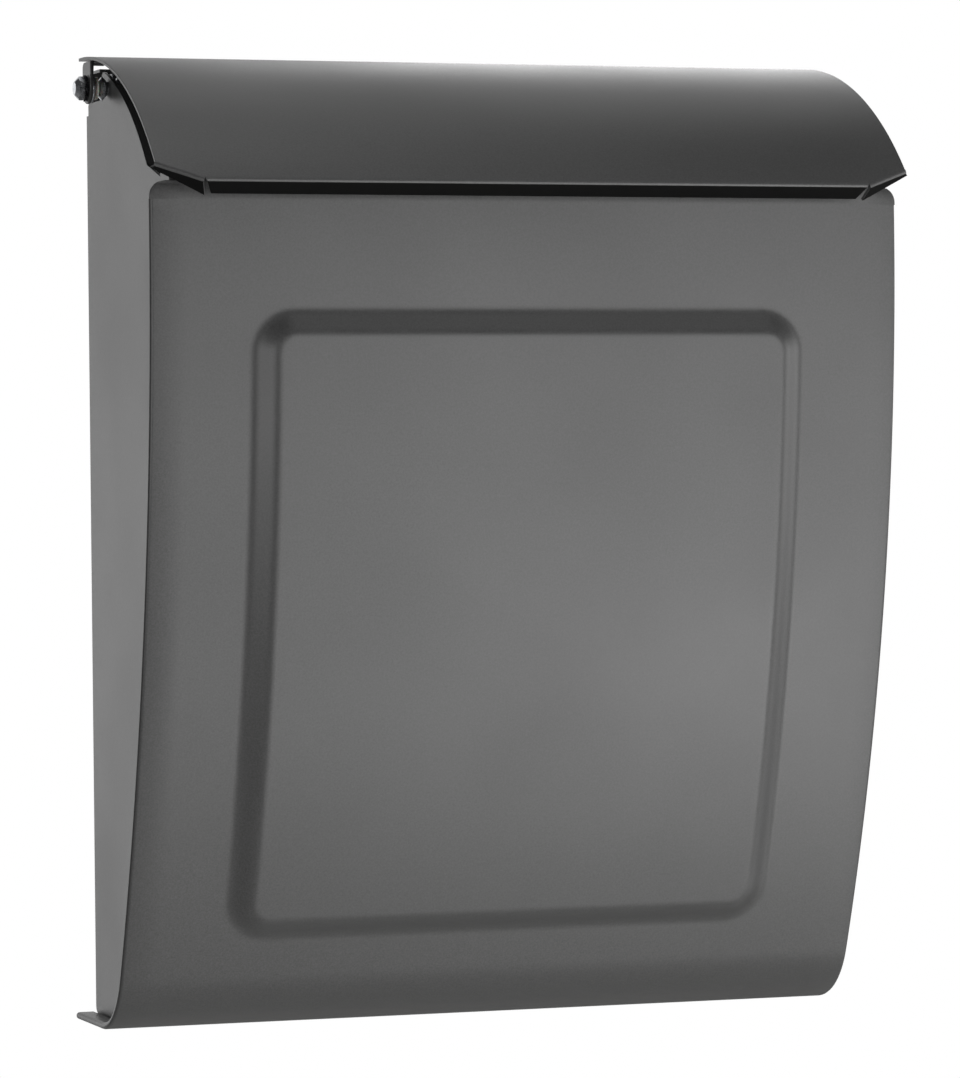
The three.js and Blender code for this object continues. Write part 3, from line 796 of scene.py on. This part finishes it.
def bored(piece, radius, x0, x1, side):
    """Cuts a round hole for the hinge bolt through a piece."""
    ring = arc(HINGE_Y, HINGE_Z, radius, 0, 360 - 360 / HOLE_STEPS, HOLE_STEPS - 1)
    cutter = bpy.data.objects.new("cutter", mesh_from(*plate(ring, x0, x1, side), "cutter"))
    bpy.context.scene.collection.objects.link(cutter)
    hole = piece.modifiers.new("hole", "BOOLEAN")
    hole.object = cutter
    hole.solver = "EXACT"
    apply_modifiers(piece)
    bpy.data.objects.remove(cutter)
    return piece


# %% Both side panels
HOLE_RADIUS = 2.7
CUTTER_PAST = 2.0  # the cutter sticks out this far on both sides of the sheet


def side_flanges(side):
    """The three flanges that turn inwards, at the rear, along the front and along the mouth."""
    rear_face, low, high = -SHEET - WELD_GAP, SIDE_BOTTOM + SETBACK, RELIEF_Z - SETBACK
    rear = [(rear_face - SHEET, low), (rear_face, low), (rear_face, high), (rear_face - SHEET, high)]
    flange_rows = steps(SETBACK, bulge_run, 6) + [bulge_run]
    depths = (SIDE_SETBACK, SIDE_SETBACK + SHEET)
    front_faces = [[front_point(d, depth) for d in flange_rows] for depth in depths]
    mouth_start = mouth_angle(HINGE_Y - SETBACK, HINGE_Z)
    radii = (MOUTH_RADIUS, MOUTH_RADIUS - SHEET)
    mouth_faces = [arc(mouth.x, mouth.y, radius, mouth_start, mouth_front, 30) for radius in radii]
    return joined(
        [
            plate(rear, SIDE_OUT - REAR_FLANGE, SIDE_IN, side),
            strip(*front_faces, SIDE_OUT - FRONT_FLANGE, SIDE_IN, side),
            strip(*mouth_faces, SIDE_OUT - MOUTH_FLANGE, SIDE_IN, side),
        ]
    )


def side_panel(side, word):
    """One side panel: the bored blank and its flanges as one mesh, with rounded edges."""
    flat = bpy.data.objects.new("flat", mesh_from(*plate(side_outline, SIDE_IN, SIDE_OUT, side), "flat"))
    bpy.context.scene.collection.objects.link(flat)
    bored(flat, HOLE_RADIUS, SIDE_IN - CUTTER_PAST, SIDE_OUT + CUTTER_PAST, side)
    whole = bmesh.new()
    whole.from_mesh(flat.data)
    whole.from_mesh(mesh_from(*side_flanges(side), "flanges"))
    mesh = bpy.data.meshes.new("side_panel_folded_" + word)
    whole.to_mesh(mesh)
    whole.free()
    mesh.shade_smooth()
    bpy.data.objects.remove(flat)
    piece = finish_piece(mesh.name, mesh, graphite_powder_coat, "box", ["side_panel_" + word])
    return round_edges(piece)


for side, word in ((-1, "left"), (1, "right")):
    side_panel(side, word)
print("side panels stand", FRONT_HALF - SIDE_OUT, "mm inside the front panel")

# %% [markdown]
# ## Lid brackets
#
# A small L of the same steel is spot-welded under each end of the lid. Its ear hangs
# down over the bolt and is rounded about the bolt's own axis, so it keeps the same
# gap as it turns. It is drawn as an outline, like the side panel. Its hole for the
# bolt is still missing here, so the bolt runs through the sheet, between the washers.

# %% Lid brackets
EAR_WIDTH, EAR_CORNER = 12.0, 2.5
BRACKET_DROP, BRACKET_TO_SIDE = 2.25, 0.4
EAR_IN = LID_HALF - SHEET


def lid_bracket(side, word):
    """One bracket: the ear on the bolt, and the flange that is welded under the lid."""
    name, node = "lid_bracket_folded_" + word, "lid_bracket_" + word
    half, top = EAR_WIDTH / 2, TOP - BRACKET_DROP
    front, back = HINGE_Y - half, HINGE_Y + half - EAR_CORNER
    outline = arc(HINGE_Y, HINGE_Z, half, 180, 360, 24)
    outline += arc(back, top - EAR_CORNER, EAR_CORNER, 0, 90, 8)
    outline += [(front, top)]
    flange = [(front, top - SHEET), (back, top - SHEET), (back, top), (front, top)]
    ear_solid = plate(outline, EAR_IN, LID_HALF, side)
    flange_solid = plate(flange, SIDE_OUT + BRACKET_TO_SIDE, EAR_IN, side)
    mesh = mesh_from(*joined([ear_solid, flange_solid]), name)
    piece = finish_piece(name, mesh, graphite_powder_coat, "lid", [node])
    return round_edges(piece)


for side, word in ((-1, "left"), (1, "right")):
    lid_bracket(side, word)
print("ear of the lid bracket is", EAR_WIDTH, "mm wide")

# %% [markdown]
# ## Hinge bolts, nuts and washers
#
# Everything on the bolt is round about one axis, so each piece is a profile turned
# about it. A hexagon is turned too: its radius changes with the angle, and the steep
# chamfer on these nuts and heads then gives the curved edges on their flats by itself.


# %% Turning a profile about the hinge bolt
def turned(profile_at, count, side, name):
    """A closed piece made by turning a profile of (x, radius) points that may change with the angle."""
    vertices, faces = [], []
    for i in range(count):
        angle = 2 * math.pi * i / count
        for x, radius in profile_at(angle):
            y, z = HINGE_Y + radius * math.cos(angle), HINGE_Z + radius * math.sin(angle)
            vertices.append((side * x, y, z))
    length = len(vertices) // count
    for i in range(count):
        for k in range(length):
            a, b = i * length + k, i * length + (k + 1) % length
            c, d = (i + 1) % count * length + (k + 1) % length, (i + 1) % count * length + k
            faces.append((a, b, c, d))
    return mesh_from(vertices, faces, name)


CHAMFER = math.tan(math.radians(42))
FACE_SHARE = 0.62  # how much of the hexagon's width its flat round face takes
HEX_SOFT = 0.1  # the small bevel at an end without a chamfer
RIM_SOFT = 0.18
RIM_PART = 0.3  # a point this part of the way in, on both sides, makes the rim round


def hexagon(across, angle):
    """The radius of a hexagon at an angle."""
    part = (angle + math.pi / 6) % (math.pi / 3) - math.pi / 6
    return across / 2 / math.cos(part)


def hex_profile(x0, x1, across, angle, low, high):
    """The outside of a hexagon from x0 to x1, with a chamfer at either or both ends."""
    radius, face = hexagon(across, angle), across / 2 * FACE_SHARE
    drop = (radius - face) * CHAMFER
    start = [(x0, face), (x0 + drop, radius)] if low else [(x0, radius - HEX_SOFT), (x0 + HEX_SOFT, radius)]
    end = [(x1 - drop, radius), (x1, face)] if high else [(x1 - HEX_SOFT, radius), (x1, radius - HEX_SOFT)]
    return start + end


def ring_profile(x0, x1, outer, inner):
    """A flat ring with slightly rounded rims."""
    part = RIM_SOFT * RIM_PART
    return [
        (x0, inner),
        (x0, outer - RIM_SOFT),
        (x0 + part, outer - part),
        (x0 + RIM_SOFT, outer),
        (x1 - RIM_SOFT, outer),
        (x1 - part, outer - part),
        (x1, outer - RIM_SOFT),
        (x1, inner),
    ]


# %% Nuts, washers and spacers
ACROSS = 8.0
BOLT_RADIUS = 2.5
BORE = 2.65
TURN_STEPS = 72
TURN_SHARP = math.radians(25)
TEETH = 12
TOOTH_HALF = 0.35  # half the toothed washer's thickness, and half the depth of the gaps between its teeth
TOOTH_ROOT = 1.2
TOOTH_TWIST = 0.22
TOOTH_STEEP = 2.5


def turned_piece(name, profile_at, material, node, side, word):
    """A piece turned about the hinge bolt, on the left or the right."""
    mesh = turned(profile_at, TURN_STEPS, side, f"{name}_{word}")
    piece = finish_piece(mesh.name, mesh, material, "box", [f"{node}_{word}"])
    mesh.set_sharp_from_angle(angle=TURN_SHARP)
    return piece


def ends(node):
    """Where a measured node starts and ends along the bolt, on the right-hand side, and its radius."""
    low, high = box_mm(node + "_right")
    return low.x, high.x, (high.z - low.z) / 2


def add_nut(name, node, side, word):
    x0, x1, _ = ends(node)
    turned_piece(
        name,
        lambda a: [(x0, BORE), *hex_profile(x0, x1, ACROSS, a, True, True), (x1, BORE)],
        bright_zinc, node, side, word,
    )


def add_ring(name, node, material, side, word):
    x0, x1, radius = ends(node)
    turned_piece(name, lambda a: ring_profile(x0, x1, radius, BORE), material, node, side, word)


def toothed(angle):
    """Twelve teeth, each twisted a little out of the ring's plane."""
    x0, x1, tip = ends("hinge_lock_washer")
    middle = (x0 + x1) / 2
    low, high, root = middle - TOOTH_HALF, middle + TOOTH_HALF, tip - TOOTH_ROOT
    wave = max(min(TOOTH_STEEP * math.sin(TEETH * angle), 1), -1)
    outer = tip - TOOTH_HALF + TOOTH_HALF * wave
    lean = TOOTH_TWIST * math.cos(TEETH * angle)
    return [(low, BORE), (low, root), (low + lean, outer), (high + lean, outer), (high, root), (high, BORE)]


def add_hardware(side, word):
    add_nut("spacer_nut", "hinge_nut", side, word)
    add_nut("locking_nut", "inner_nut", side, word)
    add_ring("flat_washer", "hinge_flat_washer", bright_zinc, side, word)
    add_ring("inside_washer", "inner_washer", bright_zinc, side, word)
    add_ring("nylon_spacer", "hinge_spacer", natural_nylon, side, word)
    turned_piece("toothed_washer", toothed, black_spring_steel, "hinge_lock_washer", side, word)


for side, word in ((-1, "left"), (1, "right")):
    add_hardware(side, word)
print("nuts are", ACROSS, "mm across flats")

# %% Bolts
THREAD_PITCH = 0.8
THREAD_DEPTH = 0.35
THREAD_START = 0.4  # the first groove lies this far from the bolt's end
END_TAPER = 0.5
HEAD_HEIGHT = 3.5
AXIS = 0.001  # a profile closes on a hair-thin ring at the axis


def bolt(side, word):
    """One bolt: threads up to the side panel, a plain shank through the hinge, and a hexagon head."""
    x0, x1 = bolt_low.x, bolt_high.x
    head = x1 - HEAD_HEIGHT
    threads = []
    for i in range(int((SIDE_IN - x0 - THREAD_START) / THREAD_PITCH)):
        start = x0 + THREAD_START + i * THREAD_PITCH
        threads += [(start, BOLT_RADIUS - THREAD_DEPTH), (start + THREAD_PITCH / 2, BOLT_RADIUS)]
    turned_piece(
        "hex_bolt",
        lambda a: [
            (x0, AXIS),
            (x0, BOLT_RADIUS - END_TAPER),
            *threads,
            (SIDE_IN, BOLT_RADIUS),
            (head, BOLT_RADIUS),
            *hex_profile(head, x1, ACROSS, a, False, True),
            (x1, AXIS),
        ],
        bright_zinc, "hinge_bolt", side, word,
    )


for side, word in ((-1, "left"), (1, "right")):
    bolt(side, word)
print("bolts run from", round(bolt_low.x, 1), "to", round(bolt_high.x, 1), "mm")

# %% [markdown]
# ## Back panel
#
# The back is a plain sheet with a rain ledge, a foot and its screw holes. The
# measured solid already has that shape, so it stays, and gets the powder
# coat and rounded edges.

# %% Back panel
back = frame["nodes"]["back_panel"]
back.material_slots[0].material = graphite_powder_coat
bevel_edges(back, 2)
print("back panel keeps its measured shape")

# %% [markdown]
# ## Studio
#
# A pale floor lies well below the box, because the box hangs on a wall. Satin sheet
# shows a soft picture of what stands before it, so a single lamp would leave most of
# it dull. Eleven square soft lights stand on a sphere round the box instead: four at
# the front and front right carry the broad front, one on the left and two on the
# right fill the sides, one hangs above, and three behind draw a pale rim. The room is
# nearly dark in front, which keeps the coat deep, and white behind, so that the sides
# and the top of the lid catch a sheen at a shallow angle.

# %% Floor and room
FLOOR_DROP, FLOOR_HALF, PAPER_MM = 1.3, 4.0, 400
floor_z = BOTTOM * MM - FLOOR_DROP
corners = [(FLOOR_HALF * u, FLOOR_HALF * v, floor_z) for u, v in ((-1, -1), (1, -1), (1, 1), (-1, 1))]
floor_mesh = bpy.data.meshes.new("floor")
floor_mesh.from_pydata(corners, [], [(0, 1, 2, 3)])
floor = bpy.data.objects.new("floor", floor_mesh)
bpy.context.scene.collection.objects.link(floor)
pale_paper, tree, shader, place = new_material("pale_paper_floor", "e6e6e4", 0.0, 0.9)
fibres = add(tree, "ShaderNodeTexNoise", {"Vector": place}, Scale=1 / (PAPER_MM * MM), Detail=2.0)
patches = {"Value": fibres.outputs["Fac"]}
rough = add(tree, "ShaderNodeMapRange", patches, **NOISE_RANGE, To_Min=0.85, To_Max=0.95)
tree.links.new(rough.outputs["Result"], shader.inputs["Roughness"])
floor_mesh.materials.append(pale_paper)
floor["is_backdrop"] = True

ROOM_FRONT, ROOM_BEHIND = 0.06, 1.0
world = bpy.data.worlds.new("studio")
world.use_nodes = True
bpy.context.scene.world = world
room = world.node_tree
direction = add(room, "ShaderNodeTexCoord").outputs["Generated"]
ahead = add(room, "ShaderNodeSeparateXYZ", {"Vector": direction}).outputs["Y"]
room_range = {"From_Min": 0.75, "From_Max": 0.9, "To_Min": ROOM_FRONT, "To_Max": ROOM_BEHIND}
brightness = add(room, "ShaderNodeMapRange", {"Value": ahead}, interpolation_type="SMOOTHSTEP", **room_range)
background = room.nodes["Background"]
background.inputs["Color"].default_value = (1, 1, 1, 1)
room.links.new(brightness.outputs["Result"], background.inputs["Strength"])
print("floor at", round(floor_z, 3), "m")

# %% Lights
AIM = Vector((0, -0.06, 0))
LAMP_SIZE, LAMP_DISTANCE = 1.0, 2.4


def soft_light(name, azimuth, elevation, watts):
    """A square soft light on a sphere round the box, aimed at it."""
    light = bpy.data.lights.new(name, "AREA")
    light.shape = "SQUARE"
    light.size = LAMP_SIZE
    light.energy = watts
    lamp = bpy.data.objects.new(name, light)
    bpy.context.scene.collection.objects.link(lamp)
    a, e = math.radians(azimuth), math.radians(elevation)
    away = Vector((math.sin(a) * math.cos(e), -math.cos(a) * math.cos(e), math.sin(e)))
    lamp.location = AIM + away * LAMP_DISTANCE
    lamp.rotation_euler = away.to_track_quat("Z", "Y").to_euler()


# Name, angle to the right of straight ahead, height in degrees, watts.
STUDIO = (
    ("key_low", 30, -25, 23.6),
    ("key", 30, 0, 14.2),
    ("key_ahead", 10, 0, 8.8),
    ("key_high", 30, 55, 4.0),
    ("fill_left", -45, 0, 17.6),
    ("fill_right", 75, 0, 14.7),
    ("fill_right_low", 75, -25, 5.4),
    ("above", 0, 90, 8.6),
    ("rim_right", 150, 25, 8.3),
    ("rim_right_high", 150, 55, 3.2),
    ("rim_left", -150, 0, 2.3),
)
for lamp in STUDIO:
    soft_light(*lamp)
view = bpy.context.scene.view_settings
view.view_transform = "Standard"
view.look = "None"

# %% Sizes, measured and made
import json

visual_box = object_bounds()
measured, made = cad_box[1] - cad_box[0], visual_box[1] - visual_box[0]
print("measured", [round(v, 4) for v in measured], "made", [round(v, 4) for v in made])
